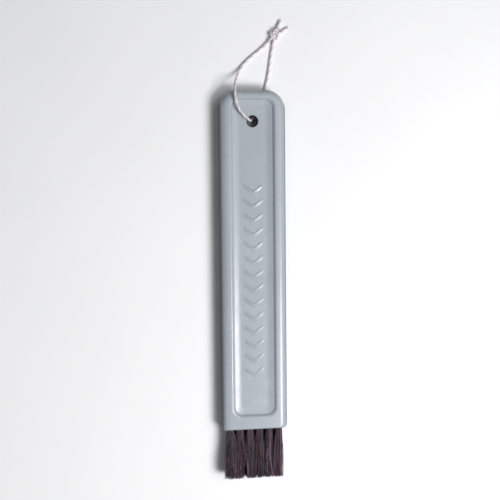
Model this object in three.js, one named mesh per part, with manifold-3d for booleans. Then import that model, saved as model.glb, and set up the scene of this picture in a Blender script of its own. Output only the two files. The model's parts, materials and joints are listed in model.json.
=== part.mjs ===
// A flat cleaning brush: a one-piece moulded handle, two rows of bristle tufts held by
// flat metal anchors, and a thin cord looped through the hang hole.
//
// Millimetres. +X across the handle, +Y towards the hang hole, +Z out of the front face.
// The brush lies on its back on the plane z = 0.

import * as THREE from 'three';
import { mergeVertices } from 'three/addons/utils/BufferGeometryUtils.js';
import Module from 'manifold-3d';

// ---- Driving dimensions ----

const HANDLE_LENGTH = 104;
const HANDLE_WIDTH = 20.4;
const HEAD_THICKNESS = 6;           // at the bristle end
const HANG_THICKNESS = 4.8;         // at the hang end; only the back slopes
const EDGE_ROUND = 1.9;             // long edges and hang end
const HEAD_EDGE_ROUND = 0.8;        // across the bristle end
const HANG_CORNER_R = 6;
const HEAD_CORNER_R = 1.3;

const PANEL_INSET = { side: 3.1, hang: 2.2, head: 3.9 };
const PANEL_WALL = 2.4;             // width of the sloping wall round the panel
const FRONT_PANEL_DEPTH = 0.9;
const BACK_PANEL_DEPTH = 0.6;
const PANEL_HANG_CORNER_R = 3.2;
const PANEL_HEAD_CORNER_R = 3;

const HOLE_R = 1.7;
const HOLE_FROM_END = 9.5;

const MARK_COUNT = 14;
const MARK_PITCH = 4.3;
const MARK_HALF_WIDTH = 2.7;
const MARK_RISE = 2;                // along the handle, from the apex to the arm's end
const MARK_STROKE = 0.9;
const MARK_HEIGHT = 0.25;
const MARK_FIRST_FROM_END = 30;

const BRISTLE_LENGTH = 15.2;        // beyond the handle
const TUFT_COUNT = { front: 6, back: 5 };
const TUFT_PITCH = 3.05;
const ROW_OFFSET = 1.2;             // each row's distance from the head's middle plane
const TUFT_HOLE_R = 1.12;
const TUFT_HOLE_DEPTH = 4.3;
const TUFT_ROOT_R = 0.95;
const TUFT_TIP_R = 1.36;            // across the handle
const TUFT_TIP_DEPTH_R = 1.12;      // through the handle's thickness

const ANCHOR = { width: 2.5, height: 1.5, thickness: 0.35 };
const ANCHOR_PLAY = 0.03;
const ANCHOR_FROM_MOUTH = 2.85;

const CORD_R = 0.4;
const KNOT_RADII = [1.5, 1.65, 0.95];

const Y_HANG = (HANDLE_LENGTH + BRISTLE_LENGTH) / 2;
const Y_HEAD = Y_HANG - HANDLE_LENGTH;
const Z_FRONT = HEAD_THICKNESS;
const Z_MIDDLE = HEAD_THICKNESS / 2;
const HOLE_Y = Y_HANG - HOLE_FROM_END;

// ---- Solids ----

const wasm = await Module();
wasm.setup();

function toManifold(geometry) {
  const plain = geometry.clone();
  plain.deleteAttribute('normal');
  plain.deleteAttribute('uv');
  const merged = mergeVertices(plain, 1e-5);
  return new wasm.Manifold(new wasm.Mesh({
    numProp: 3,
    vertProperties: new Float32Array(merged.attributes.position.array),
    triVerts: new Uint32Array(merged.index.array),
  }));
}

function toGeometry(solid) {
  const mesh = solid.getMesh();
  const geometry = new THREE.BufferGeometry();
  geometry.setAttribute('position', new THREE.BufferAttribute(mesh.vertProperties, 3));
  geometry.setIndex(new THREE.BufferAttribute(mesh.triVerts, 1));
  geometry.computeVertexNormals();
  return geometry;
}

function plastic(color) {
  return new THREE.MeshStandardMaterial({ color, roughness: 0.32, metalness: 0 });
}

function bristle(color) {
  return new THREE.MeshStandardMaterial({ color, roughness: 0.6, metalness: 0 });
}

function metal(color) {
  return new THREE.MeshStandardMaterial({ color, roughness: 0.35, metalness: 0.9 });
}

function thread(color) {
  return new THREE.MeshStandardMaterial({ color, roughness: 0.5, metalness: 0.1 });
}

const group = new THREE.Group();
group.name = 'cleaning_brush';

function addPiece(name, geometry, material) {
  const mesh = new THREE.Mesh(geometry, material);
  mesh.name = name;
  group.add(mesh);
}

// A closed skin over rings of equal length, each a list of [x, y, z], capped at both ends.
function skinRings(rings) {
  const size = rings[0].length;
  const positions = rings.flat(2);
  const index = [];
  for (let r = 0; r + 1 < rings.length; r += 1) {
    for (let i = 0; i < size; i += 1) {
      const a = r * size + i;
      const b = r * size + (i + 1) % size;
      index.push(a, b, b + size);
      index.push(a, b + size, a + size);
    }
  }
  const outline = rings[0].map(([x, y]) => new THREE.Vector2(x, y));
  const last = (rings.length - 1) * size;
  const lastOutline = rings[rings.length - 1].map(([x, y]) => new THREE.Vector2(x, y));
  for (const [a, b, c] of THREE.ShapeUtils.triangulateShape(outline, [])) {
    index.push(a, c, b);
  }
  for (const [a, b, c] of THREE.ShapeUtils.triangulateShape(lastOutline, [])) {
    index.push(last + a, last + b, last + c);
  }
  const geometry = new THREE.BufferGeometry();
  geometry.setAttribute('position', new THREE.Float32BufferAttribute(positions, 3));
  geometry.setIndex(index);
  return geometry;
}

// ---- Handle ----

// The height of a point whose depth below the front face is measured at the head.
function heightAt(y, depth) {
  const along = (y - Y_HEAD - HEAD_EDGE_ROUND) / HANDLE_LENGTH;
  const thickness = THREE.MathUtils.lerp(HEAD_THICKNESS, HANG_THICKNESS, along);
  return Z_FRONT - depth * thickness / HEAD_THICKNESS;
}

// Rounded rectangle inside the handle's outline, counter-clockwise seen from the front.
function outlineRing(inset, cornerR, zAt) {
  const segments = 8;
  const corners = [
    { x: 1, y: 1, r: cornerR.hang, from: 0 },
    { x: -1, y: 1, r: cornerR.hang, from: Math.PI / 2 },
    { x: -1, y: -1, r: cornerR.head, from: Math.PI },
    { x: 1, y: -1, r: cornerR.head, from: 1.5 * Math.PI },
  ];
  const ring = [];
  for (const corner of corners) {
    const edgeX = HANDLE_WIDTH / 2 - inset.side;
    const edgeY = corner.y > 0 ? Y_HANG - inset.hang : Y_HEAD + inset.head;
    const centreX = corner.x * (edgeX - corner.r);
    const centreY = edgeY - corner.y * corner.r;
    for (let i = 0; i <= segments; i += 1) {
      const angle = corner.from + i / segments * Math.PI / 2;
      const x = centreX + corner.r * Math.cos(angle);
      const y = centreY + corner.r * Math.sin(angle);
      ring.push([x, y, zAt(y)]);
    }
  }
  return ring;
}

// One ring of the handle's outer skin, where its edges are rounded by an angle.
function shellRing(turn, toFront) {
  const roll = 1 - Math.sin(turn);
  const drop = EDGE_ROUND * (1 - Math.cos(turn));
  const depth = toFront ? drop : HEAD_THICKNESS - drop;
  const inset = {
    side: EDGE_ROUND * roll,
    hang: EDGE_ROUND * roll,
    head: HEAD_EDGE_ROUND * roll,
  };
  const cornerR = {
    hang: HANG_CORNER_R - inset.hang,
    head: Math.max(HEAD_CORNER_R - inset.head, 0.3),
  };
  return outlineRing(inset, cornerR, (y) => heightAt(y, depth));
}

function makeShell() {
  const steps = 6;
  const rings = [];
  for (let i = 0; i <= steps; i += 1) {
    rings.push(shellRing(i / steps * Math.PI / 2, false));
  }
  for (let i = steps; i >= 0; i -= 1) {
    rings.push(shellRing(i / steps * Math.PI / 2, true));
  }
  return toManifold(skinRings(rings));
}

// One ring of a panel cutter: 0 at the panel's floor, 1 at the rim, more above it.
function panelRing(out, depth) {
  const step = PANEL_WALL * (1 - out);
  const inset = {
    side: PANEL_INSET.side + step,
    hang: PANEL_INSET.hang + step,
    head: PANEL_INSET.head + step,
  };
  const cornerR = { hang: PANEL_HANG_CORNER_R - step, head: PANEL_HEAD_CORNER_R - step };
  return outlineRing(inset, cornerR, (y) => heightAt(y, depth));
}

function makeFrontPanel() {
  const floor = panelRing(0, FRONT_PANEL_DEPTH).map(([x, y]) => [x, y, Z_FRONT - FRONT_PANEL_DEPTH]);
  const rim = panelRing(1, 0);
  const above = panelRing(1.2, -1);
  return toManifold(skinRings([floor, rim, above]));
}

function makeBackPanel() {
  const below = panelRing(1.2, HEAD_THICKNESS + 1);
  const rim = panelRing(1, HEAD_THICKNESS);
  const floor = panelRing(0, HEAD_THICKNESS - BACK_PANEL_DEPTH);
  return toManifold(skinRings([below, rim, floor]));
}

// The hang hole, with a small bevel at the front mouth.
function makeHangHole() {
  const floorZ = Z_FRONT - FRONT_PANEL_DEPTH;
  const bevel = 0.25;
  const profile = [
    new THREE.Vector2(0, -2),
    new THREE.Vector2(HOLE_R, -2),
    new THREE.Vector2(HOLE_R, floorZ - bevel),
    new THREE.Vector2(HOLE_R + 2 * bevel, floorZ + bevel),
    new THREE.Vector2(0, floorZ + bevel),
  ];
  const geometry = new THREE.LatheGeometry(profile, 40);
  geometry.rotateX(Math.PI / 2);
  return toManifold(geometry).translate([0, HOLE_Y, 0]);
}

// A plain chevron that stands a little above the panel's floor, pointing at the head.
function makeMark(y) {
  const shape = new THREE.Shape();
  shape.moveTo(0, -MARK_RISE / 2 - MARK_STROKE / 2);
  shape.lineTo(MARK_HALF_WIDTH, MARK_RISE / 2 - MARK_STROKE / 2);
  shape.lineTo(MARK_HALF_WIDTH, MARK_RISE / 2 + MARK_STROKE / 2);
  shape.lineTo(0, -MARK_RISE / 2 + MARK_STROKE / 2);
  shape.lineTo(-MARK_HALF_WIDTH, MARK_RISE / 2 + MARK_STROKE / 2);
  shape.lineTo(-MARK_HALF_WIDTH, MARK_RISE / 2 - MARK_STROKE / 2);
  const embed = 0.3;
  const geometry = new THREE.ExtrudeGeometry(shape, {
    depth: MARK_HEIGHT + embed,
    bevelEnabled: false,
  });
  geometry.translate(0, y, Z_FRONT - FRONT_PANEL_DEPTH - embed);
  return toManifold(geometry);
}

// Every tuft's place in the head: across, and up from the ground plane.
function tuftPlaces() {
  const places = [];
  for (const row of ['front', 'back']) {
    const count = TUFT_COUNT[row];
    for (let i = 0; i < count; i += 1) {
      places.push({
        label: `${row}_${i + 1}`,
        x: (i - (count - 1) / 2) * TUFT_PITCH,
        z: Z_MIDDLE + (row === 'front' ? ROW_OFFSET : -ROW_OFFSET),
      });
    }
  }
  return places;
}

// A blind tuft hole, with the pocket that the anchor's two ends bite into.
function makeTuftHole({ x, z }) {
  const profile = [
    new THREE.Vector2(0, -TUFT_HOLE_DEPTH - 0.5),
    new THREE.Vector2(TUFT_HOLE_R, -TUFT_HOLE_DEPTH),
    new THREE.Vector2(TUFT_HOLE_R, 1),
    new THREE.Vector2(0, 1),
  ];
  const bore = new THREE.LatheGeometry(profile, 20);
  bore.rotateX(Math.PI);
  const pocket = new THREE.BoxGeometry(
    ANCHOR.width + 2 * ANCHOR_PLAY,
    ANCHOR.height + 2 * ANCHOR_PLAY,
    ANCHOR.thickness + 2 * ANCHOR_PLAY,
  );
  pocket.translate(0, ANCHOR_FROM_MOUTH, 0);
  return toManifold(bore).add(toManifold(pocket)).translate([x, Y_HEAD, z]);
}

let handle = makeShell()
  .subtract(makeFrontPanel())
  .subtract(makeBackPanel());
for (let i = 0; i < MARK_COUNT; i += 1) {
  handle = handle.add(makeMark(Y_HANG - MARK_FIRST_FROM_END - i * MARK_PITCH));
}
handle = handle.subtract(makeHangHole());
for (const place of tuftPlaces()) {
  handle = handle.subtract(makeTuftHole(place));
}
addPiece('handle', toGeometry(handle), plastic('#aeb5ba'));

// ---- Tufts and their anchors ----

// A bundle folded in two over its anchor: round in its hole, a little wider at the tips.
function makeTuft({ x, z }) {
  const sides = 20;
  const stations = [
    { y: TUFT_HOLE_DEPTH - 0.3, r: 0.35, flare: 0 },
    { y: TUFT_HOLE_DEPTH - 0.55, r: 0.75, flare: 0 },
    { y: TUFT_HOLE_DEPTH - 0.95, r: TUFT_ROOT_R, flare: 0 },
    { y: 0, r: TUFT_ROOT_R, flare: 0 },
    { y: -BRISTLE_LENGTH * 0.2, r: TUFT_ROOT_R, flare: 0.45 },
    { y: -BRISTLE_LENGTH * 0.6, r: TUFT_ROOT_R, flare: 0.85 },
    { y: -BRISTLE_LENGTH, r: TUFT_ROOT_R, flare: 1 },
  ];
  const rings = stations.map(({ y, r, flare }) => {
    const across = r + flare * (TUFT_TIP_R - TUFT_ROOT_R);
    const through = r + flare * (TUFT_TIP_DEPTH_R - TUFT_ROOT_R);
    const ring = [];
    for (let i = 0; i < sides; i += 1) {
      const angle = i / sides * 2 * Math.PI;
      ring.push([across * Math.cos(angle), through * Math.sin(angle), -y]);
    }
    return ring;
  });
  const geometry = skinRings(rings);
  geometry.rotateX(Math.PI / 2);
  const slot = new THREE.BoxGeometry(
    2 * TUFT_ROOT_R + 1,
    ANCHOR.height + 2 * ANCHOR_PLAY,
    ANCHOR.thickness + 2 * ANCHOR_PLAY,
  );
  slot.translate(0, ANCHOR_FROM_MOUTH, 0);
  return toManifold(geometry).subtract(toManifold(slot)).translate([x, Y_HEAD, z]);
}

function makeAnchor({ x, z }) {
  const geometry = new THREE.BoxGeometry(ANCHOR.width, ANCHOR.height, ANCHOR.thickness);
  geometry.translate(x, Y_HEAD + ANCHOR_FROM_MOUTH, z);
  return geometry;
}

for (const place of tuftPlaces()) {
  addPiece(`tuft_${place.label}`, toGeometry(makeTuft(place)), bristle('#4a3c47'));
  addPiece(`anchor_${place.label}`, makeAnchor(place), metal('#b8b2a0'));
}

// ---- Hang cord ----

// Twisted thread from the knot, over the front, down the hole and back under the handle.
const CORD_ROUTE = [
  [6.5, 75.35, 0.95],
  [5, 73.75, 0.6],
  [3.1, 72.1, 0.46],
  [0.65, 70.1, 0.44],
  [-1.6, 68, 0.5],
  [-3.05, 66, 0.9],
  [-4.05, 64, 2],
  [-4.7, 62.3, 3.5],
  [-5.1, 60.95, 5],
  [-5.3, 59.85, 6.15],
  [-5.35, 58.55, 6.85],
  [-5.3, 57.1, 7.1],
  [-5.05, 55.7, 7.05],
  [-4.5, 54.2, 6.8],
  [-3.6, 52.8, 6.45],
  [-2.45, 51.55, 6.2],
  [-1.45, 50.8, 5.75],
  [-0.9, 50.45, 5],
  [-0.55, 50.42, 4],
  [-0.2, 50.5, 2.9],
  [0.2, 50.8, 1.95],
  [0.8, 51.65, 1.1],
  [1.6, 53.2, 0.58],
  [2.6, 55.5, 0.42],
  [3.7, 58, 0.42],
  [4.65, 60.3, 0.42],
  [5.35, 62.7, 0.42],
  [5.85, 65.3, 0.42],
  [6.3, 68.2, 0.42],
  [6.7, 70.8, 0.44],
  [7.1, 73.1, 0.55],
  [7.4, 74.75, 0.85],
];
const TAIL_A_ROUTE = [
  [8.7, 78.6, 0.95],
  [8.95, 79.4, 0.8],
  [9.25, 80.2, 0.6],
  [9.6, 81, 0.46],
];
const TAIL_B_ROUTE = [
  [9.55, 77.35, 0.95],
  [10.3, 77.85, 0.75],
  [11.1, 78.35, 0.55],
  [11.85, 78.85, 0.44],
];
const KNOT_CENTRE = [7.7, 76.8, 1.05];

function makeTube(route, radius, steps) {
  const sides = 8;
  const section = new THREE.Shape();
  section.absarc(0, 0, radius, 0, 2 * Math.PI, false);
  const points = route.map(([x, y, z]) => new THREE.Vector3(x, y, z));
  return new THREE.ExtrudeGeometry(section, {
    curveSegments: sides / 2,
    steps,
    extrudePath: new THREE.CatmullRomCurve3(points, false, 'centripetal'),
  });
}

function makeKnot() {
  const geometry = new THREE.SphereGeometry(1, 16, 12);
  geometry.scale(...KNOT_RADII);
  geometry.rotateZ(Math.PI / 5);
  geometry.translate(...KNOT_CENTRE);
  return toGeometry(toManifold(geometry));
}

addPiece('hang_cord', makeTube(CORD_ROUTE, CORD_R, 72), thread('#cfc6cc'));
addPiece('cord_knot', makeKnot(), thread('#d8cfd4'));
addPiece('cord_tail_a', makeTube(TAIL_A_ROUTE, CORD_R, 8), thread('#cfc6cc'));
addPiece('cord_tail_b', makeTube(TAIL_B_ROUTE, CORD_R, 6), thread('#cfc6cc'));

export default group;
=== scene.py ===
"""The looks of a flat cleaning brush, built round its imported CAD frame.

Metres, in the CAD frame: +X across the handle, +Y towards the hang hole, +Z out of the
front face. The brush lies on its back on the plane z = 0.
"""

import json
import math
import random

import bpy
from mathutils import Matrix, Vector

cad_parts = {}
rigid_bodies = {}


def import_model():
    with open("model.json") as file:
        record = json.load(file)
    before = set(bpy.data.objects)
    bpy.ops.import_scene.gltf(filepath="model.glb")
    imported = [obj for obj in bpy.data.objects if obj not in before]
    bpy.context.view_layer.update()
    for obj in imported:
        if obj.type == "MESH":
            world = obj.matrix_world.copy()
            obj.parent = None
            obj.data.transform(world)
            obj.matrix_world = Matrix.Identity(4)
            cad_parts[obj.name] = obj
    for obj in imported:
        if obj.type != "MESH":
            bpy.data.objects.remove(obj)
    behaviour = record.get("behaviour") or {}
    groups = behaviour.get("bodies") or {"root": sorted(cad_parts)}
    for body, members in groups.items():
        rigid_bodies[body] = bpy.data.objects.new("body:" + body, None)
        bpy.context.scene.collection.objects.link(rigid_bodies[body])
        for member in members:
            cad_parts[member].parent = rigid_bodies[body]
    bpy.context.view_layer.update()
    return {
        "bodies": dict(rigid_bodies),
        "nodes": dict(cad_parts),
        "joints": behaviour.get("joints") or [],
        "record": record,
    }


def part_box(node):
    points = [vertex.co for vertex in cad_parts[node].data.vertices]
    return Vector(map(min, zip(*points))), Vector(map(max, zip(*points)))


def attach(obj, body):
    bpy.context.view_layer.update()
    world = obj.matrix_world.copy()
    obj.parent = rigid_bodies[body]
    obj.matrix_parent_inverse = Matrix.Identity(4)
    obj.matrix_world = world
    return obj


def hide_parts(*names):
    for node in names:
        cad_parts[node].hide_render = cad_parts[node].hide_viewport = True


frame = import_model()

MM = 0.001
rng = random.Random(20)

# ---- Sizes shared with the CAD part ----

handle_low, handle_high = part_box("handle")
HALF_WIDTH = handle_high.x
Y_HANG = handle_high.y
Y_HEAD = handle_low.y
Z_FRONT = handle_high.z
HANDLE_LENGTH = Y_HANG - Y_HEAD
BACK_RISE = 1.2 * MM                # the back's height over the table at the hang end
HEAD_EDGE_ROUND = 0.8 * MM
HANG_CORNER_R = 6 * MM
HEAD_CORNER_R = 1.3 * MM
PANEL_FLOOR = Z_FRONT - 0.9 * MM
HOLE_R = 1.7 * MM
HOLE_Y = Y_HANG - 9.5 * MM

MARK_COUNT = 14
MARK_PITCH = 4.3 * MM
MARK_FIRST_Y = Y_HANG - 30 * MM
MARK_HALF_WIDTH = 2.7 * MM
MARK_RISE = 2 * MM
MARK_STROKE = 0.9 * MM
MARK_LEVELS = [                     # how far the outline is grown, and its height over the floor
    (0.3 * MM, -0.3 * MM),
    (0.3 * MM, -0.01 * MM),
    (0.2 * MM, 0.02 * MM),
    (0.08 * MM, 0.08 * MM),
    (-0.04 * MM, 0.14 * MM),
    (-0.16 * MM, 0.185 * MM),
    (-0.27 * MM, 0.21 * MM),
    (-0.34 * MM, 0.22 * MM),
]

TUFT_HOLE_R = 1.12 * MM
TUFT_HOLE_DEPTH = 4.3 * MM
ANCHOR_DEPTH = 3.45 * MM            # where the bristles turn round their anchor

CORD_ROUTE = [
    (6.5, 75.35, 0.95),
    (5, 73.75, 0.6),
    (3.1, 72.1, 0.46),
    (0.65, 70.1, 0.44),
    (-1.6, 68, 0.5),
    (-3.05, 66, 0.9),
    (-4.05, 64, 2),
    (-4.7, 62.3, 3.5),
    (-5.1, 60.95, 5),
    (-5.3, 59.85, 6.15),
    (-5.35, 58.55, 6.85),
    (-5.3, 57.1, 7.1),
    (-5.05, 55.7, 7.05),
    (-4.5, 54.2, 6.8),
    (-3.6, 52.8, 6.45),
    (-2.45, 51.55, 6.2),
    (-1.45, 50.8, 5.75),
    (-0.9, 50.45, 5),
    (-0.55, 50.42, 4),
    (-0.2, 50.5, 2.9),
    (0.2, 50.8, 1.95),
    (0.8, 51.65, 1.1),
    (1.6, 53.2, 0.58),
    (2.6, 55.5, 0.42),
    (3.7, 58, 0.42),
    (4.65, 60.3, 0.42),
    (5.35, 62.7, 0.42),
    (5.85, 65.3, 0.42),
    (6.3, 68.2, 0.42),
    (6.7, 70.8, 0.44),
    (7.1, 73.1, 0.55),
    (7.4, 74.75, 0.85),
]
TAIL_A_ROUTE = [
    (8.4, 77.8, 1),
    (8.7, 78.6, 0.95),
    (8.95, 79.4, 0.8),
    (9.25, 80.2, 0.6),
    (9.6, 81, 0.46),
]
TAIL_B_ROUTE = [
    (8.9, 77.1, 1),
    (9.55, 77.35, 0.95),
    (10.3, 77.85, 0.75),
    (11.1, 78.35, 0.55),
    (11.85, 78.85, 0.44),
]
KNOT_CENTRE = Vector((7.7, 76.8, 1.05)) * MM
LEAD_STARTS = [(7.5, 76.45, 1.25), (7.6, 76.3, 1.1)]    # where the cord's two ends enter the knot

# ---- Materials ----


class Nodes:
    """A short way to write a material's node tree."""

    def __init__(self, name):
        self.material = bpy.data.materials.new(name)
        self.material.use_nodes = True
        self.tree = self.material.node_tree
        self.shader = self.tree.nodes["Principled BSDF"]
        self.position = self.add("ShaderNodeTexCoord").outputs["Object"]

    def add(self, kind, **settings):
        """A new node, with its settings."""
        node = self.tree.nodes.new(kind)
        for key, value in settings.items():
            setattr(node, key, value)
        return node

    def link(self, source, target):
        self.tree.links.new(source, target)

    def stretched(self, scale):
        """The piece's own coordinates, scaled along each axis."""
        mapping = self.add("ShaderNodeMapping")
        mapping.inputs["Scale"].default_value = scale
        self.link(self.position, mapping.inputs["Vector"])
        return mapping.outputs["Vector"]

    def noise(self, scale, detail=3.0, roughness=0.5, vector=None):
        """Cloudy noise from 0 to 1, its scale in repeats per metre."""
        node = self.add("ShaderNodeTexNoise")
        node.inputs["Scale"].default_value = scale
        node.inputs["Detail"].default_value = detail
        node.inputs["Roughness"].default_value = roughness
        self.link(vector or self.position, node.inputs["Vector"])
        return node.outputs["Fac"]

    def ramp(self, value, stops):
        """A colour ramp over (place, colour) stops; a colour may be one number."""
        node = self.add("ShaderNodeValToRGB")
        elements = node.color_ramp.elements
        while len(elements) < len(stops):
            elements.new(0.5)
        for element, (place, colour) in zip(elements, stops):
            element.position = place
            if isinstance(colour, (int, float)):
                colour = (colour,) * 3
            element.color = (*colour, 1)
        self.link(value, node.inputs["Fac"])
        return node.outputs["Color"]

    def mix(self, factor, a, b, blend="MIX"):
        """Two colours mixed; each input is a socket, a number or a colour."""
        node = self.add("ShaderNodeMix", data_type="RGBA", blend_type=blend)
        for socket, value in ((node.inputs[0], factor), (node.inputs[6], a), (node.inputs[7], b)):
            if isinstance(value, bpy.types.NodeSocket):
                self.link(value, socket)
            elif isinstance(value, (int, float)):
                socket.default_value = value
            else:
                socket.default_value = (*value, 1)
        return node.outputs[2]

    def away_from(self, point, axes):
        """Each place's distance from a point, counted along the axes that are 1, not 0."""
        flat = self.add("ShaderNodeVectorMath", operation="MULTIPLY")
        flat.inputs[1].default_value = axes
        self.link(self.position, flat.inputs[0])
        distance = self.add("ShaderNodeVectorMath", operation="DISTANCE")
        distance.inputs[1].default_value = point
        self.link(flat.outputs["Vector"], distance.inputs[0])
        return distance.outputs["Value"]

    def fade(self, value, start, end, low, high):
        """Low up to the start, high from the end on, and smooth between."""
        node = self.add("ShaderNodeMapRange", interpolation_type="SMOOTHSTEP")
        node.inputs["From Min"].default_value = start
        node.inputs["From Max"].default_value = end
        node.inputs["To Min"].default_value = low
        node.inputs["To Max"].default_value = high
        self.link(value, node.inputs["Value"])
        return node.outputs["Result"]

    def bump(self, height, strength, distance, normal=None):
        """A normal bent by a height, on top of another bump where there is one."""
        node = self.add("ShaderNodeBump")
        node.inputs["Strength"].default_value = strength
        node.inputs["Distance"].default_value = distance
        self.link(height, node.inputs["Height"])
        if normal is not None:
            self.link(normal, node.inputs["Normal"])
        return node.outputs["Normal"]

    def set(self, **values):
        """Plain values on the shader's own sockets; an underscore stands for a space."""
        for key, value in values.items():
            self.shader.inputs[key.replace("_", " ")].default_value = value


SIDE_PAINTED_SHADE = (0.085, 0.115, 0.12)   # painted shade with a teal painted reflection on the handle's side walls
SIDE_PAINTED_SHADE_SHARE = 0.8
SIDE_PAINTED_SHADE_STARTS = HALF_WIDTH - 0.9 * MM
SIDE_PAINTED_SHADE_FULL = HALF_WIDTH - 0.1 * MM
DULL = (0.95, 0.95, 0.95)           # roughness laid over the side walls' painted shade
BORE_PAINTED_SHADE = (0.012, 0.010, 0.014)  # painted shade inside the hang hole, near black
BORE_PAINTED_SHADE_FULL = HOLE_R + 0.03 * MM
BORE_PAINTED_SHADE_ENDS = HOLE_R + 0.2 * MM


def plastic_material():
    """Grey moulded plastic: faint mottling, painted shade on the side walls and in the hang hole,
    scratches and an orange-peel skin.
    """
    m = Nodes("grey_plastic")
    mottle = m.noise(90, 4)
    tone = m.ramp(mottle, [(0.3, (0.365, 0.397, 0.44)), (0.7, (0.395, 0.428, 0.468))])
    streak = m.noise(1, 5, 0.65, m.stretched((900, 60, 900)))
    tone = m.mix(m.ramp(streak, [(0.55, 0), (0.8, 0.10)]), tone, (0.51, 0.545, 0.565))
    # Painted shade: the side walls darken towards the outline, tinted teal as a painted reflection.
    from_middle = m.away_from((0, 0, 0), (1, 0, 0))
    side = m.fade(from_middle, SIDE_PAINTED_SHADE_STARTS, SIDE_PAINTED_SHADE_FULL, 0, SIDE_PAINTED_SHADE_SHARE)
    tone = m.mix(side, tone, SIDE_PAINTED_SHADE)
    # Painted shade: the hang hole's bore is near black, fading out just past its edge.
    from_hole = m.away_from((0, HOLE_Y, 0), (1, 1, 0))
    tone = m.mix(m.fade(from_hole, BORE_PAINTED_SHADE_FULL, BORE_PAINTED_SHADE_ENDS, 1, 0), tone, BORE_PAINTED_SHADE)
    m.link(tone, m.shader.inputs["Base Color"])
    scuff = m.noise(260, 6, 0.6)
    # The side walls' painted shade is made rough as well.
    m.link(m.mix(side, m.ramp(scuff, [(0.3, 0.2), (0.75, 0.33)]), DULL), m.shader.inputs["Roughness"])
    peel = m.bump(m.noise(1500, 2), 0.06, 0.02 * MM)
    scratch = m.ramp(m.noise(1, 3, 0.6, m.stretched((5200, 260, 5200))), [(0.62, 0), (0.7, 1)])
    m.link(m.bump(scratch, 0.05, 0.02 * MM, peel), m.shader.inputs["Normal"])
    m.set(IOR=1.5)
    return m.material


def bristle_material():
    """Dark bristle with a tone per strand, kept in the mesh's colour attribute."""
    m = Nodes("bristle")
    attribute = m.add("ShaderNodeVertexColor", layer_name="tone")
    streak = m.noise(1, 3, 0.5, m.stretched((6000, 650, 6000)))
    shade = m.ramp(streak, [(0.3, 0.55), (0.7, 1.4)])
    m.link(m.mix(1.0, attribute.outputs["Color"], shade, "MULTIPLY"), m.shader.inputs["Base Color"])
    m.link(m.ramp(streak, [(0.3, 0.34), (0.7, 0.5)]), m.shader.inputs["Roughness"])
    m.set(IOR=1.55)
    return m.material


def thread_material():
    """Silvery twisted thread with fine fibres along each ply."""
    m = Nodes("thread")
    attribute = m.add("ShaderNodeVertexColor", layer_name="tone")
    fuzz = m.noise(9000, 3)
    shade = m.ramp(fuzz, [(0.3, 0.82), (0.7, 1.06)])
    m.link(m.mix(1.0, attribute.outputs["Color"], shade, "MULTIPLY"), m.shader.inputs["Base Color"])
    m.link(m.ramp(fuzz, [(0.3, 0.36), (0.7, 0.55)]), m.shader.inputs["Roughness"])
    m.link(m.bump(fuzz, 0.35, 0.03 * MM), m.shader.inputs["Normal"])
    m.set(Sheen_Weight=0.35, Sheen_Roughness=0.4)
    return m.material


def metal_material():
    """Plain drawn flat wire."""
    m = Nodes("anchor_metal")
    grain = m.noise(1, 4, 0.6, m.stretched((700, 9000, 9000)))
    tone = m.ramp(grain, [(0.3, (0.5, 0.48, 0.42)), (0.7, (0.66, 0.64, 0.58))])
    m.link(tone, m.shader.inputs["Base Color"])
    m.link(m.ramp(grain, [(0.3, 0.28), (0.7, 0.45)]), m.shader.inputs["Roughness"])
    m.link(m.bump(grain, 0.3, 0.01 * MM), m.shader.inputs["Normal"])
    m.set(Metallic=1.0)
    return m.material


def floor_material():
    """Pale matt paper, very faintly uneven."""
    m = Nodes("floor")
    grain = m.noise(30, 3)
    m.link(m.ramp(grain, [(0.3, 0.92), (0.7, 0.94)]), m.shader.inputs["Base Color"])
    m.set(Roughness=0.7)
    return m.material


PLASTIC = plastic_material()
BRISTLE = bristle_material()
THREAD = thread_material()
METAL = metal_material()

# ---- Mesh helpers ----


def new_object(name, vertices, faces, material=None):
    """An object in the scene, from points and faces."""
    mesh = bpy.data.meshes.new(name)
    mesh.from_pydata([tuple(v) for v in vertices], [], faces)
    mesh.validate()
    mesh.update()
    piece = bpy.data.objects.new(name, mesh)
    bpy.context.scene.collection.objects.link(piece)
    if material is not None:
        mesh.materials.append(material)
    return piece


def smooth(piece, angle):
    """Smooth shading, but for edges sharper than an angle."""
    piece.data.polygons.foreach_set("use_smooth", [True] * len(piece.data.polygons))
    piece.data.set_sharp_from_angle(angle=angle)


def apply_modifiers(piece):
    """Bakes the piece's modifiers into its mesh."""
    depsgraph = bpy.context.evaluated_depsgraph_get()
    mesh = bpy.data.meshes.new_from_object(piece.evaluated_get(depsgraph))
    old = piece.data
    piece.modifiers.clear()
    piece.data = mesh
    bpy.data.meshes.remove(old)


def loft(rings):
    """Vertices and faces of a closed skin over rings of equal length, with flat ends."""
    size = len(rings[0])
    vertices = [point for ring in rings for point in ring]
    faces = []
    for r in range(len(rings) - 1):
        for i in range(size):
            a, b = r * size + i, r * size + (i + 1) % size
            faces.append((a, b, b + size, a + size))
    faces.append(tuple(reversed(range(size))))
    faces.append(tuple(range((len(rings) - 1) * size, len(rings) * size)))
    return vertices, faces


def lathe(profile, sides, matrix):
    """A closed solid turned about Z from (radius, height) points, then placed."""
    rings = []
    for radius, height in profile:
        rings.append([
            matrix @ Vector((
                radius * math.cos(2 * math.pi * i / sides),
                radius * math.sin(2 * math.pi * i / sides),
                height,
            ))
            for i in range(sides)
        ])
    return loft(rings)


def join_solids(name, solids, material=None):
    """One object from several closed solids."""
    vertices, faces = [], []
    for solid_vertices, solid_faces in solids:
        base = len(vertices)
        vertices += solid_vertices
        faces += [tuple(i + base for i in face) for face in solid_faces]
    return new_object(name, vertices, faces, material)


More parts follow.
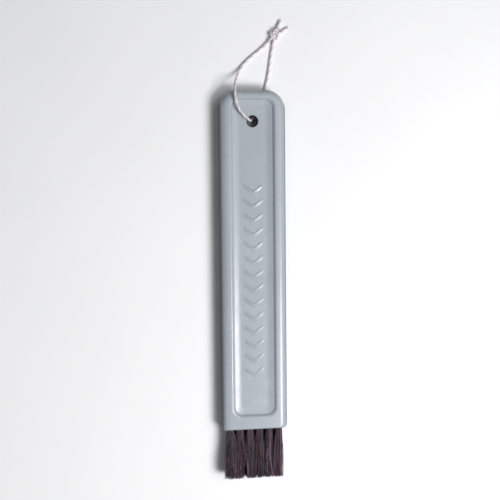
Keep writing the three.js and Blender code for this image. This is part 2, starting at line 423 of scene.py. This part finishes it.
def boolean(piece, cutter, operation):
    """Joins the cutter to the piece, or cuts it out, and deletes the cutter."""
    modifier = piece.modifiers.new(operation, "BOOLEAN")
    modifier.operation = operation
    modifier.solver = "EXACT"
    modifier.object = cutter
    apply_modifiers(piece)
    bpy.data.objects.remove(cutter)


def frames_along(route):
    """A steady normal and side at each point of an open route."""
    normal, frames = None, []
    for i in range(len(route)):
        tangent = (route[min(i + 1, len(route) - 1)] - route[max(i - 1, 0)]).normalized()
        if normal is None:
            normal = tangent.orthogonal().normalized()
        normal = (normal - tangent * normal.dot(tangent)).normalized()
        frames.append((normal, tangent.cross(normal)))
    return frames


def frames_round(line):
    """A normal, as near to upright as it can be, and a side at each point of a closed line."""
    frames = []
    for i in range(len(line)):
        tangent = (line[(i + 1) % len(line)] - line[i - 1]).normalized()
        normal = (Vector((0, 0, 1)) - tangent * tangent.z).normalized()
        frames.append((normal, tangent.cross(normal)))
    return frames


def beside(point, frame, angle, distance):
    """The place at an angle and a distance from a point, square to the line through it."""
    normal, side = frame
    return point + (normal * math.cos(angle) + side * math.sin(angle)) * distance


def circle_round(point, frame, radius, sides):
    """Evenly spaced places on a circle round a point."""
    return [beside(point, frame, 2 * math.pi * k / sides, radius) for k in range(sides)]


def tube(route, radii, sides):
    """Vertices and faces of a tube along an open route, with a radius at each point."""
    places = zip(route, frames_along(route), radii)
    return loft([circle_round(point, frame, radius, sides) for point, frame, radius in places])


def closed_tube(line, radius, sides):
    """Vertices and faces of a ring-shaped tube along a closed line."""
    count = len(line)
    vertices, faces = [], []
    for i, (point, frame) in enumerate(zip(line, frames_round(line))):
        vertices += circle_round(point, frame, radius, sides)
        for k in range(sides):
            a, b = i * sides + k, i * sides + (k + 1) % sides
            c, d = (i + 1) % count * sides + (k + 1) % sides, (i + 1) % count * sides + k
            faces.append((a, b, c, d))
    return vertices, faces


def paint(piece, tones):
    """A colour per vertex, in the mesh's tone attribute."""
    layer = piece.data.color_attributes.new("tone", "FLOAT_COLOR", "POINT")
    flat = [channel for tone in tones for channel in (*tone, 1.0)]
    layer.data.foreach_set("color", flat)


def interpolate(table, x):
    """Straight lines between (x, y) points."""
    for (x0, y0), (x1, y1) in zip(table, table[1:]):
        if x <= x1:
            return y0 + (y1 - y0) * max(0, x - x0) / (x1 - x0)
    return table[-1][1]


# ---- Handle ----

RIM_ROUND = 2.4 * MM                # how far the rounded edge reaches in over the rim
RIM_DROP = 2.1 * MM
BACK_RIM_DROP = 1.9 * MM
RIM_INNER = 3.1 * MM                # where the panel's wall starts
HEAD_RIM = 3.9 * MM                 # the same, across the bristle end
HANG_RIM = 2.2 * MM                 # the same, across the hang end
HANG_EDGE_ROUND = 1.85 * MM
HEAD_RIM_CORNER_R = 0.7 * MM
PANEL_HANG_CORNER_R = 3.1 * MM
PANEL_HEAD_CORNER_R = 3 * MM
FLOOR_INNER = RIM_INNER + 3.3 * MM  # where the panel's corner radii stop shrinking
FLOOR_HANG_CORNER_R = 1.0 * MM
FLOOR_HEAD_CORNER_R = 1.2 * MM
BACK_PANEL_DEPTH = 0.6 * MM
FLASH_LINE = [                      # height over the mould's parting line, and how proud it is
    (-0.12 * MM, 0),
    (-0.05 * MM, 0.035 * MM),
    (0.05 * MM, 0.035 * MM),
    (0.12 * MM, 0),
]
ON_SIDE = 0.97                      # shares of the half width and half length beyond which
ON_END = 0.995                      # a point of the outline counts as on a side or on an end
HANG_HOLE_EDGE_ROUND = 0.28 * MM
HANG_HOLE_SIDES = 64
TUFT_HOLE_SIDES = 32
TUFT_HOLE_CUTTER = [                # (radius, depth), flared where it opens
    (TUFT_HOLE_R + 0.2 * MM, -0.2 * MM),
    (TUFT_HOLE_R + 0.12 * MM, 0),
    (TUFT_HOLE_R, 0.15 * MM),
    (TUFT_HOLE_R, TUFT_HOLE_DEPTH),
    (0.02 * MM, TUFT_HOLE_DEPTH + 0.5 * MM),
]
SIDE_STEPS = 44
END_STEPS = 12
CORNER_STEPS = 14


def back_height(y):
    """The height of the back's rim over the table."""
    return BACK_RISE * (y - Y_HEAD - HEAD_EDGE_ROUND) / HANDLE_LENGTH


def handle_ring(inset, height):
    """A rounded rectangle set in from the handle's outline; height maps y to z.

    Over the rim the two ends have their own insets. Past it all four sides step in alike.
    """
    head = interpolate(
        [(0, 0), (RIM_ROUND, HEAD_EDGE_ROUND), (RIM_INNER, HEAD_RIM), (1, 1 + HEAD_RIM)], inset)
    hang = interpolate(
        [(0, 0), (RIM_ROUND, HANG_EDGE_ROUND), (RIM_INNER, HANG_RIM), (1, 1 + HANG_RIM)], inset)
    hang_r = interpolate([
        (0, HANG_CORNER_R), (RIM_INNER, PANEL_HANG_CORNER_R), (FLOOR_INNER, FLOOR_HANG_CORNER_R),
    ], inset)
    head_r = interpolate([
        (0, HEAD_CORNER_R), (RIM_ROUND, HEAD_RIM_CORNER_R), (RIM_INNER, PANEL_HEAD_CORNER_R),
        (FLOOR_INNER, FLOOR_HEAD_CORNER_R),
    ], inset)
    x = HALF_WIDTH - inset
    top, bottom = Y_HANG - hang, Y_HEAD + head
    corners = [
        (x - hang_r, top - hang_r, hang_r, 0),
        (-x + hang_r, top - hang_r, hang_r, 1),
        (-x + head_r, bottom + head_r, head_r, 2),
        (x - head_r, bottom + head_r, head_r, 3),
    ]
    outline = []
    for number, (cx, cy, r, quarter) in enumerate(corners):
        for i in range(CORNER_STEPS + 1):
            angle = (quarter + i / CORNER_STEPS) * math.pi / 2
            outline.append((cx + r * math.cos(angle), cy + r * math.sin(angle)))
        x0, y0 = outline[-1]
        next_x, next_y, next_r, next_quarter = corners[(number + 1) % 4]
        angle = next_quarter * math.pi / 2
        x1, y1 = next_x + next_r * math.cos(angle), next_y + next_r * math.sin(angle)
        steps = END_STEPS if number % 2 == 0 else SIDE_STEPS
        for i in range(1, steps):
            outline.append((x0 + (x1 - x0) * i / steps, y0 + (y1 - y0) * i / steps))
    return [Vector((x, y, height(y))) for x, y in outline]


def edge_profile(reach, drop, steps=12, power=2.04):
    """(inset, depth) round an edge, from the side wall to the rim's flat top."""
    points = []
    for i in range(steps + 1):
        turn = i / steps * math.pi / 2
        inset = reach * (1 - math.cos(turn) ** (2 / power))
        depth = drop * (1 - math.sin(turn) ** (2 / power))
        points.append((inset, depth))
    return points


def wall_profile(depth, slope, lip, foot, shallow, cove, steps=8):
    """(inset, depth) down the panel's wall.

    A round lip turns down to the slope, a straight stretch follows it, a tight foot brings it
    back to a shallow slope, and a wide cove runs out into the floor.
    """
    points = []
    for i in range(steps + 1):
        turn = slope * i / steps
        points.append((RIM_INNER + lip * math.sin(turn), lip * (1 - math.cos(turn))))
    curves = lip * (1 - math.cos(slope)) + foot * (math.cos(shallow) - math.cos(slope))
    straight = depth - curves - cove * (1 - math.cos(shallow))
    inset = points[-1][0] + straight / math.tan(slope)
    level = points[-1][1] + straight
    for i in range(steps + 1):
        turn = slope + (shallow - slope) * i / steps
        points.append((
            inset + foot * (math.sin(slope) - math.sin(turn)),
            level + foot * (math.cos(turn) - math.cos(slope)),
        ))
    inset = points[-1][0]
    for i in range(1, steps + 1):
        turn = shallow * (1 - i / steps)
        points.append((
            inset + cove * (math.sin(shallow) - math.sin(turn)),
            depth - cove * (1 - math.cos(turn)),
        ))
    return points


def parting_height(y):
    """The height of the line where the two halves of the mould met."""
    return (Z_FRONT - RIM_DROP + back_height(y) + BACK_RIM_DROP) / 2


def flash_ring(offset, proud):
    """The handle's outline near the parting line, standing proud everywhere but at the bristle end."""
    ring = handle_ring(0, lambda y: parting_height(y) + offset)
    middle = (Y_HANG + Y_HEAD) / 2
    for point in ring:
        x, y = point.x / HALF_WIDTH, (point.y - middle) / (HANDLE_LENGTH / 2)
        on_side, on_end = abs(x) > ON_SIDE, abs(y) > ON_END
        if y < 0 and on_end and not on_side:
            continue
        out = Vector((x, y, 0))
        if on_side or on_end:
            out = Vector((math.copysign(on_side, x), math.copysign(on_end, y), 0))
        point += out.normalized() * proud
    return ring


def handle_shell():
    """The whole handle as one skin, from the back panel's floor out round the edges to the front's."""
    front_wall = wall_profile(
        Z_FRONT - PANEL_FLOOR, math.radians(46), 1.0 * MM, 0.4 * MM, math.radians(14), 9 * MM)
    back_wall = wall_profile(
        BACK_PANEL_DEPTH, math.radians(40), 0.5 * MM, 0.4 * MM, math.radians(12), 6 * MM)
    rings = []
    for inset, depth in reversed(edge_profile(RIM_ROUND, BACK_RIM_DROP) + back_wall):
        rings.append(handle_ring(inset, lambda y: back_height(y) + depth))
    rings += [flash_ring(offset, proud) for offset, proud in FLASH_LINE]
    for inset, depth in edge_profile(RIM_ROUND, RIM_DROP) + front_wall:
        rings.append(handle_ring(inset, lambda y: Z_FRONT - depth))
    return new_object("handle_body", *loft(rings), PLASTIC)


def chevron(y):
    """A raised mark with soft shoulders, sunk a little into the panel's floor."""
    apex, arm = y - MARK_RISE / 2, y + MARK_RISE / 2
    slope = MARK_RISE / MARK_HALF_WIDTH

    def outline(grow, z):
        """Counter-clockwise outline of the mark's stroke, grown or shrunk by an offset."""
        x_end = MARK_HALF_WIDTH + grow
        stroke = MARK_STROKE / 2 + grow * math.sqrt(1 + slope * slope)
        tip = arm + slope * grow
        return [
            Vector((0, apex - stroke, z)),
            Vector((x_end, tip - stroke, z)),
            Vector((x_end, tip + stroke, z)),
            Vector((0, apex + stroke, z)),
            Vector((-x_end, tip + stroke, z)),
            Vector((-x_end, tip - stroke, z)),
        ]

    return loft([outline(grow, PANEL_FLOOR + height) for grow, height in MARK_LEVELS])


def mouth_profile(radius, low, high, soften, steps=5):
    """(radius, height) of a through hole's cutter with a softened edge at each end."""
    flare = radius + 2.5 * soften
    curve = []
    for i in range(steps + 1):
        turn = i / steps * math.pi / 2
        curve.append((radius + soften * (1 - math.sin(turn)), soften * (1 - math.cos(turn))))
    lower = [(flare, low - soften)] + [(r, low + rise) for r, rise in curve]
    upper = [(flare, high + soften)] + [(r, high - rise) for r, rise in curve]
    return lower + upper[::-1]


def tuft_nodes():
    """Every tuft's CAD node, with where its centre line crosses the head's end face."""
    found = []
    for name in sorted(n for n in frame["nodes"] if n.startswith("tuft_")):
        low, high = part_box(name)
        found.append((name, (low.x + high.x) / 2, (low.z + high.z) / 2, low.y))
    return found


def make_handle():
    """The moulded handle, with its marks joined on and its holes cut."""
    shell = handle_shell()
    marks = [chevron(MARK_FIRST_Y - i * MARK_PITCH) for i in range(MARK_COUNT)]
    boolean(shell, join_solids("marks", marks), "UNION")
    back_floor = back_height(HOLE_Y) + BACK_PANEL_DEPTH
    hole = mouth_profile(HOLE_R, back_floor, PANEL_FLOOR, HANG_HOLE_EDGE_ROUND)
    cuts = [lathe(hole, HANG_HOLE_SIDES, Matrix.Translation((0, HOLE_Y, 0)))]
    for _, x, z, _ in tuft_nodes():
        turn = Matrix.Translation((x, Y_HEAD, z)) @ Matrix.Rotation(-math.pi / 2, 4, "X")
        cuts.append(lathe(TUFT_HOLE_CUTTER, TUFT_HOLE_SIDES, turn))
    boolean(shell, join_solids("cuts", cuts), "DIFFERENCE")
    smooth(shell, math.radians(38))
    weighted = shell.modifiers.new("weighted", "WEIGHTED_NORMAL")
    weighted.keep_sharp = True
    weighted.weight = 80
    apply_modifiers(shell)
    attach(shell, "brush")
    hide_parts("handle")


# ---- Bristles ----

BRISTLE_R = 0.06 * MM
BRISTLE_SIDES = 5
BRISTLES_IN_HALF = 92
BUNDLE_R = 1.05 * MM
ANCHOR_GAP = 0.22 * MM              # from the anchor's middle to the nearest bristles
BUNDLE_FLATNESS = 0.76
LOWER_LEG_SHARE = (0.9, 1.0)        # the lower leg's place across, as a share of the upper leg's
THICKNESS_SHARE = (0.85, 1.15)
TIP_SHARE = 0.7
HELD_DEPTHS = (ANCHOR_DEPTH, 2.2 * MM, 0.3 * MM)
FOLD_STEPS = 4
FREE_STEPS = 9
TUFT_LEAN = -0.25 * MM
TUFT_LEAN_SPREAD = 0.14 * MM
GATHER = 0.04                       # how far a tuft leans in, as a share of its place off the middle
FAN_X, FAN_Z = 0.42, 0.35           # how much a tuft opens out towards its tip
CLUMPS = 9                          # strands of a tuft lean together in about this many clumps
CLUMP_SPREAD_X, CLUMP_SPREAD_Z = 0.26 * MM, 0.14 * MM
CLUMP_WAVE = 0.2 * MM
WAVE_TURN = 5                       # radians of wave from the handle to the tip
PHASE_SPREAD = 0.5
STRAND_SPREAD_X, STRAND_SPREAD_Z = 0.24 * MM, 0.07 * MM
STRAY_SHARE = 0.07
STRAY_SPREAD_X, STRAY_SPREAD_Z = 0.5 * MM, 0.2 * MM
BOW_X, BOW_Z = 0.07 * MM, 0.06 * MM
TIP_SPREAD = 0.13 * MM
SHORT_SHARE = 0.06
SHORT_BY = 0.7 * MM
TONES = [                           # a clump's colour: brown-black, plum, lilac-grey
    (0.012, 0.002, 0.007),
    (0.044, 0.010, 0.029),
    (0.140, 0.078, 0.130),
]
TONE_WEIGHTS = (4, 5, 2)
OWN_TONE_SHARE = 0.62               # how many strands have their clump's colour
LIGHT_SPREAD = (-0.1, 0.6)          # mean and spread of the logarithm of a strand's lightness
WARMTH = (-0.004, 0.007)
DARKEST = 0.004


def bundle_places(radius, count):
    """Evenly scattered places in the half circle v > 0, by a sunflower spiral."""
    golden = math.pi * (3 - math.sqrt(5))
    places = []
    for i in range(2 * count):
        r = radius * math.sqrt((i + 0.5) / (2 * count))
        u, v = r * math.cos(i * golden), r * math.sin(i * golden)
        if v > 0:
            places.append((u, v))
    return places


def clump_leans():
    """For each clump of a tuft: how it leans, how it waves and what colour it is."""
    leans = []
    for _ in range(CLUMPS):
        leans.append({
            "x": rng.gauss(0, CLUMP_SPREAD_X),
            "z": rng.gauss(0, CLUMP_SPREAD_Z),
            "wave": rng.gauss(0, CLUMP_WAVE),
            "phase": rng.uniform(0, 2 * math.pi),
            "tone": rng.choices(TONES, TONE_WEIGHTS)[0],
        })
    return leans


def bristle_leg(root, u, v, tip_y, clump, tuft_lean):
    """One leg of a folded bristle, from beside its anchor out to its cut tip.

    The root is the middle of the tuft's hole, and u and v are the leg's place in the bundle.
    """
    lean_x = tuft_lean + u * FAN_X + clump["x"] + rng.gauss(0, STRAND_SPREAD_X)
    lean_z = v * FAN_Z + clump["z"] + rng.gauss(0, STRAND_SPREAD_Z)
    if rng.random() < STRAY_SHARE:
        lean_x += rng.gauss(0, STRAY_SPREAD_X)
        lean_z += rng.gauss(0, STRAY_SPREAD_Z)
    bow_x, bow_z = rng.gauss(0, BOW_X), rng.gauss(0, BOW_Z)
    phase = clump["phase"] + rng.gauss(0, PHASE_SPREAD)
    end = tip_y + abs(rng.gauss(0, TIP_SPREAD))
    if rng.random() < SHORT_SHARE:
        end += rng.uniform(0, SHORT_BY)
    x, z = root.x + u, root.z + v
    points = [Vector((x, Y_HEAD + depth, z)) for depth in HELD_DEPTHS]
    for i in range(1, FREE_STEPS + 1):
        t = i / FREE_STEPS
        grow = t ** 0.5
        belly = math.sin(math.pi * t)
        swing = (math.sin(phase + WAVE_TURN * t) - math.sin(phase)) * min(1, 3 * t)
        points.append(Vector((
            x + lean_x * grow + bow_x * belly + clump["wave"] * swing,
            Y_HEAD + (end - Y_HEAD) * t,
            z + lean_z * grow + bow_z * belly,
        )))
    return points


def bristle_fold(root, u, v):
    """The half turn that a bristle makes round its anchor, between its two legs."""
    points = []
    for i in range(1, FOLD_STEPS):
        turn = math.pi * i / FOLD_STEPS
        depth = ANCHOR_DEPTH + v * math.sin(turn)
        points.append(Vector((root.x + u, Y_HEAD + depth, root.z + v * math.cos(turn))))
    return points


def strand_tone(clump):
    """A strand's colour: its clump's or another one, made lighter or darker and warmer or cooler."""
    light = math.exp(rng.gauss(*LIGHT_SPREAD))
    warm = rng.uniform(*WARMTH)
    tone = clump["tone"]
    if rng.random() >= OWN_TONE_SHARE:
        tone = rng.choices(TONES, TONE_WEIGHTS)[0]
    red, green, blue = (channel * light for channel in tone)
    return max(DARKEST, red + warm), max(DARKEST, green), max(DARKEST, blue - warm / 3)


def make_tuft(name, x, z, tip_y):
    """A bundle of bristles folded in two round its anchor, both ends cut level."""
    root = Vector((x, Y_HEAD, z))
    strands, tones = [], []
    upper, lower = clump_leans(), clump_leans()
    tuft_lean = rng.gauss(TUFT_LEAN, TUFT_LEAN_SPREAD) - x * GATHER
    for u, v in bundle_places(BUNDLE_R - BRISTLE_R, BRISTLES_IN_HALF):
        number = int((math.atan2(v, u) / math.pi * 2 + math.hypot(u, v) / BUNDLE_R) / 3 * CLUMPS)
        number = min(CLUMPS - 1, number)
        v = ANCHOR_GAP + v * BUNDLE_FLATNESS
        out = bristle_leg(root, u, v, tip_y, upper[number], tuft_lean)
        back_u = u * rng.uniform(*LOWER_LEG_SHARE)
        back = bristle_leg(root, back_u, -v, tip_y, lower[number], tuft_lean)
        route = out[::-1] + bristle_fold(root, u, v) + back
        thickness = BRISTLE_R * rng.uniform(*THICKNESS_SHARE)
        radii = [thickness] * len(route)
        radii[0] = radii[-1] = thickness * TIP_SHARE
        strands.append(tube(route, radii, BRISTLE_SIDES))
        count = len(strands[-1][0])
        tones += [strand_tone(upper[number])] * (count // 2)
        tones += [strand_tone(lower[number])] * (count - count // 2)
    piece = join_solids(name.replace("tuft", "bristles"), strands, BRISTLE)
    paint(piece, tones)
    smooth(piece, math.radians(80))
    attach(piece, "brush")
    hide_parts(name)


# ---- Hang cord ----

STEP = 0.12 * MM                    # between the points of a finished route
CURVE_STEPS = 24                    # between two given points, before they are evened out
PLY_TONES = [(0.88, 0.86, 0.88), (0.80, 0.75, 0.79), (0.66, 0.55, 0.61)]
PLY_PITCH = 2.4 * MM
PLY_OFFSET = 0.185 * MM
PLY_R = 0.21 * MM
PLY_SIDES = 9
KNOT_SIZE = (0.44 * MM, 0.47 * MM, 0.42 * MM)
KNOT_TURN = math.radians(25)
KNOT_POINTS = 180
KNOT_TWISTS = 9
KNOT_PLY_OFFSET = 0.19 * MM
KNOT_PLY_R = 0.2 * MM
TAIL_START_TURN = 0.4               # radians, so that the tails' plies don't start like the cord's
TAIL_LOOSENS_AT = 0.6               # share of a tail's length
FIBRES = 14
FIBRE_TONE = (0.76, 0.71, 0.74)
FIBRE_R = 0.045 * MM
FIBRE_SIDES = 5
FIBRE_STEPS = 5
FIBRE_REACH = (0.45, 1.0)           # mm
FIBRE_SCATTER = (0.1, 0.1, 0.06)    # mm, of the fibres' starts, along each axis
FIBRE_SPREAD = 0.32
FIBRE_ROOT = 0.3 * MM               # how far back inside the tail the fibres start
FIBRE_SINK = 0.4                    # how much of its height and its thickness a fibre loses
FIBRE_LOWEST = 0.05 * MM


def curve_through(points):
    """A smooth line through the given points, whose bends follow how far apart they are."""
    ends = [2 * points[0] - points[1]] + points + [2 * points[-1] - points[-2]]
    line = []
    for p0, p1, p2, p3 in zip(ends, ends[1:], ends[2:], ends[3:]):
        d01 = (p1 - p0).length ** 0.5
        d12 = (p2 - p1).length ** 0.5
        d23 = (p3 - p2).length ** 0.5
        m1 = (p2 - p1) + ((p1 - p0) / d01 - (p2 - p0) / (d01 + d12)) * d12
        m2 = (p2 - p1) + ((p3 - p2) / d23 - (p3 - p1) / (d12 + d23)) * d12
        for i in range(CURVE_STEPS):
            t = i / CURVE_STEPS
            from_p1, from_p2 = 2 * t ** 3 - 3 * t ** 2 + 1, -2 * t ** 3 + 3 * t ** 2
            from_m1, from_m2 = t ** 3 - 2 * t ** 2 + t, t ** 3 - t ** 2
            line.append(from_p1 * p1 + from_m1 * m1 + from_p2 * p2 + from_m2 * m2)
    return line + [points[-1]]


def smooth_route(points):
    """Points a step apart along a smooth line through the given ones, and its length."""
    line = curve_through([Vector(point) * MM for point in points])
    lengths = [0]
    for a, b in zip(line, line[1:]):
        lengths.append(lengths[-1] + (b - a).length)
    count = max(2, round(lengths[-1] / STEP))
    route, k = [], 0
    for i in range(count + 1):
        target = lengths[-1] * i / count
        while k + 2 < len(lengths) and lengths[k + 1] < target:
            k += 1
        share = (target - lengths[k]) / (lengths[k + 1] - lengths[k])
        route.append(line[k].lerp(line[k + 1], min(1, max(0, share))))
    return route, lengths[-1]


def ply_lines(route, start_turn=0.0, loosen=lambda t: 1.0):
    """The centre line of each ply where they twist round a route."""
    places = list(zip(route, frames_along(route)))
    lines = []
    for ply in range(len(PLY_TONES)):
        line = []
        for i, (point, frame) in enumerate(places):
            angle = start_turn + 2 * math.pi * (ply / len(PLY_TONES) + i * STEP / PLY_PITCH)
            line.append(beside(point, frame, angle, PLY_OFFSET * loosen(i / (len(route) - 1))))
        lines.append(line)
    return lines


def thread_solids(lines):
    """A solid tube for each ply's line, and a tone for each vertex."""
    solids, tones = [], []
    for line, tone in zip(lines, PLY_TONES):
        solids.append(tube(line, [PLY_R] * len(line), PLY_SIDES))
        tones += [tone] * len(solids[-1][0])
    return solids, tones


def thread_piece(name, solids, tones, node):
    """One piece of the thread, in place of its CAD node."""
    piece = join_solids(name, solids, THREAD)
    paint(piece, tones)
    smooth(piece, math.radians(70))
    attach(piece, "hang_loop")
    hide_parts(node)
    return piece


def make_knot(leads):
    """An overhand knot of the twisted thread, drawn up but not hard, and the leads into it."""
    placed = Matrix.Translation(KNOT_CENTRE) @ Matrix.Rotation(KNOT_TURN, 4, "Z")
    route = []
    for i in range(KNOT_POINTS):
        t = 2 * math.pi * i / KNOT_POINTS
        route.append(placed @ Vector((
            (math.sin(t) + 2 * math.sin(2 * t)) * KNOT_SIZE[0],
            (math.cos(t) - 2 * math.cos(2 * t)) * KNOT_SIZE[1],
            -math.sin(3 * t) * KNOT_SIZE[2],
        )))
    frames = frames_round(route)
    solids, tones = [], []
    for ply, tone in enumerate(PLY_TONES):
        line = []
        for i, (point, frame) in enumerate(zip(route, frames)):
            angle = 2 * math.pi * (ply / len(PLY_TONES) + KNOT_TWISTS * i / KNOT_POINTS)
            line.append(beside(point, frame, angle, KNOT_PLY_OFFSET))
        solids.append(closed_tube(line, KNOT_PLY_R, PLY_SIDES))
        tones += [tone] * len(solids[-1][0])
    for lines in leads:
        lead_solids, lead_tones = thread_solids(lines)
        solids += lead_solids
        tones += lead_tones
    return thread_piece("knot", solids, tones, "cord_knot")


def loose_fibre(end, direction):
    """A fine fibre that springs from just inside a thread's end and sinks towards the table."""
    reach = rng.uniform(*FIBRE_REACH) * MM
    aim = direction + Vector((rng.gauss(0, FIBRE_SPREAD), rng.gauss(0, FIBRE_SPREAD), 0))
    off = Vector([rng.gauss(0, spread) for spread in FIBRE_SCATTER]) * MM
    start = end - direction * FIBRE_ROOT + off
    points, radii = [], []
    for i in range(FIBRE_STEPS + 1):
        t = i / FIBRE_STEPS
        point = start + aim.normalized() * reach * t
        point.z = max(FIBRE_LOWEST, start.z * (1 - FIBRE_SINK * t))
        points.append(point)
        radii.append(FIBRE_R * (1 - FIBRE_SINK * t))
    return tube(points, radii, FIBRE_SIDES)


def make_tail(name, points, node):
    """A short cut end whose plies open into loose fibres."""
    route, _ = smooth_route(points)
    lines = ply_lines(route, TAIL_START_TURN, lambda t: 1 + 0.5 * max(0, t - TAIL_LOOSENS_AT))
    solids, tones = thread_solids(lines)
    direction = (route[-1] - route[-6]).normalized()
    for _ in range(FIBRES):
        solids.append(loose_fibre(route[-1], direction))
        tones += [FIBRE_TONE] * len(solids[-1][0])
    return thread_piece(name, solids, tones, node)


# ---- The object ----

make_handle()
for node, tuft_x, tuft_z, tuft_tip in tuft_nodes():
    make_tuft(node, tuft_x, tuft_z, tuft_tip)
for node, cad_object in frame["nodes"].items():
    if node.startswith("anchor_"):
        cad_object.data.materials.clear()
        cad_object.data.materials.append(METAL)

# The plies run on unbroken through the leads, which belong to the knot's piece.
cord_route, cord_length = smooth_route(CORD_ROUTE)
lead_in, _ = smooth_route([LEAD_STARTS[0], CORD_ROUTE[0]])
lead_out, _ = smooth_route([CORD_ROUTE[-1], LEAD_STARTS[1]])
whole_lines = ply_lines(lead_in[:-1] + cord_route + lead_out[1:])
first, last = len(lead_in) - 1, len(lead_in) + len(cord_route) - 1
cord_solids, cord_tones = thread_solids([line[first:last] for line in whole_lines])
cord = thread_piece("hang_thread", cord_solids, cord_tones, "hang_cord")
knot = make_knot([
    [line[:first + 1] for line in whole_lines],
    [line[last - 1:] for line in whole_lines],
])
tails = [
    make_tail("thread_end_a", TAIL_A_ROUTE, "cord_tail_a"),
    make_tail("thread_end_b", TAIL_B_ROUTE, "cord_tail_b"),
]

# ---- Floor, light and camera ----

FLOOR_REACH = 1.5
FLOOR_DROP = 0.05 * MM              # keeps the floor clear of the brush's back

floor = new_object(
    "floor",
    [(x * FLOOR_REACH, y * FLOOR_REACH, 0) for x, y in ((-1, -1), (1, -1), (1, 1), (-1, 1))],
    [(0, 1, 2, 3)],
    floor_material(),
)
floor.location.z = -FLOOR_DROP


def soft_light(name, place, aim, size, power, colour=(1, 1, 1)):
    """A rectangular lamp at a place, turned to aim at another."""
    data = bpy.data.lights.new(name, "AREA")
    data.shape = "RECTANGLE"
    data.size, data.size_y = size
    data.energy = power
    data.color = colour
    lamp = bpy.data.objects.new(name, data)
    bpy.context.scene.collection.objects.link(lamp)
    lamp.location = place
    lamp.rotation_mode = "QUATERNION"
    lamp.rotation_quaternion = (Vector(aim) - Vector(place)).to_track_quat("-Z", "Y")


soft_light("key", (0.19, -0.12, 0.34), (0, -0.03, 0), (0.14, 0.16), 1.3, (1.0, 0.985, 1.0))
soft_light("left", (-0.18, -0.13, 0.35), (0, -0.04, 0), (0.035, 0.035), 0.085)
soft_light("right", (0.42, 0.05, 0.8), (0, 0.0, 0), (0.65, 0.65), 3.0, (0.97, 1.0, 0.98))

world = bpy.data.worlds.new("studio")
bpy.context.scene.world = world
world.use_nodes = True
background = world.node_tree.nodes["Background"]
background.inputs["Color"].default_value = (0.9, 0.91, 1.0, 1)
background.inputs["Strength"].default_value = 0.1
bpy.context.scene.view_settings.view_transform = "Standard"

CAMERA_LENS = 60
CAMERA_DISTANCE = 258.6 * MM
CAMERA_LEAN = math.radians(-8.17)   # towards the handle's left side
CAMERA_TILT = math.radians(3.95)    # towards the hang hole
CAMERA_ROLL = math.radians(-0.55)
CAMERA_TARGET = Vector((-0.33, 10.9, 0)) * MM

camera = bpy.data.objects.new("camera", bpy.data.cameras.new("camera"))
camera.data.lens = CAMERA_LENS
camera.data.sensor_width = 36
camera.data.clip_start = 0.01
bpy.context.scene.collection.objects.link(camera)
backward = Vector((
    math.sin(CAMERA_LEAN),
    math.sin(CAMERA_TILT) * math.cos(CAMERA_LEAN),
    math.cos(CAMERA_TILT) * math.cos(CAMERA_LEAN),
))
right = Vector((0, 1, 0)).cross(backward).normalized()
up = backward.cross(right)
turned = Matrix((right, up, backward)).transposed() @ Matrix.Rotation(CAMERA_ROLL, 3, "Z")
place = Matrix.Translation(CAMERA_TARGET + backward * CAMERA_DISTANCE)
camera.matrix_world = place @ turned.to_4x4()
bpy.context.scene.camera = camera
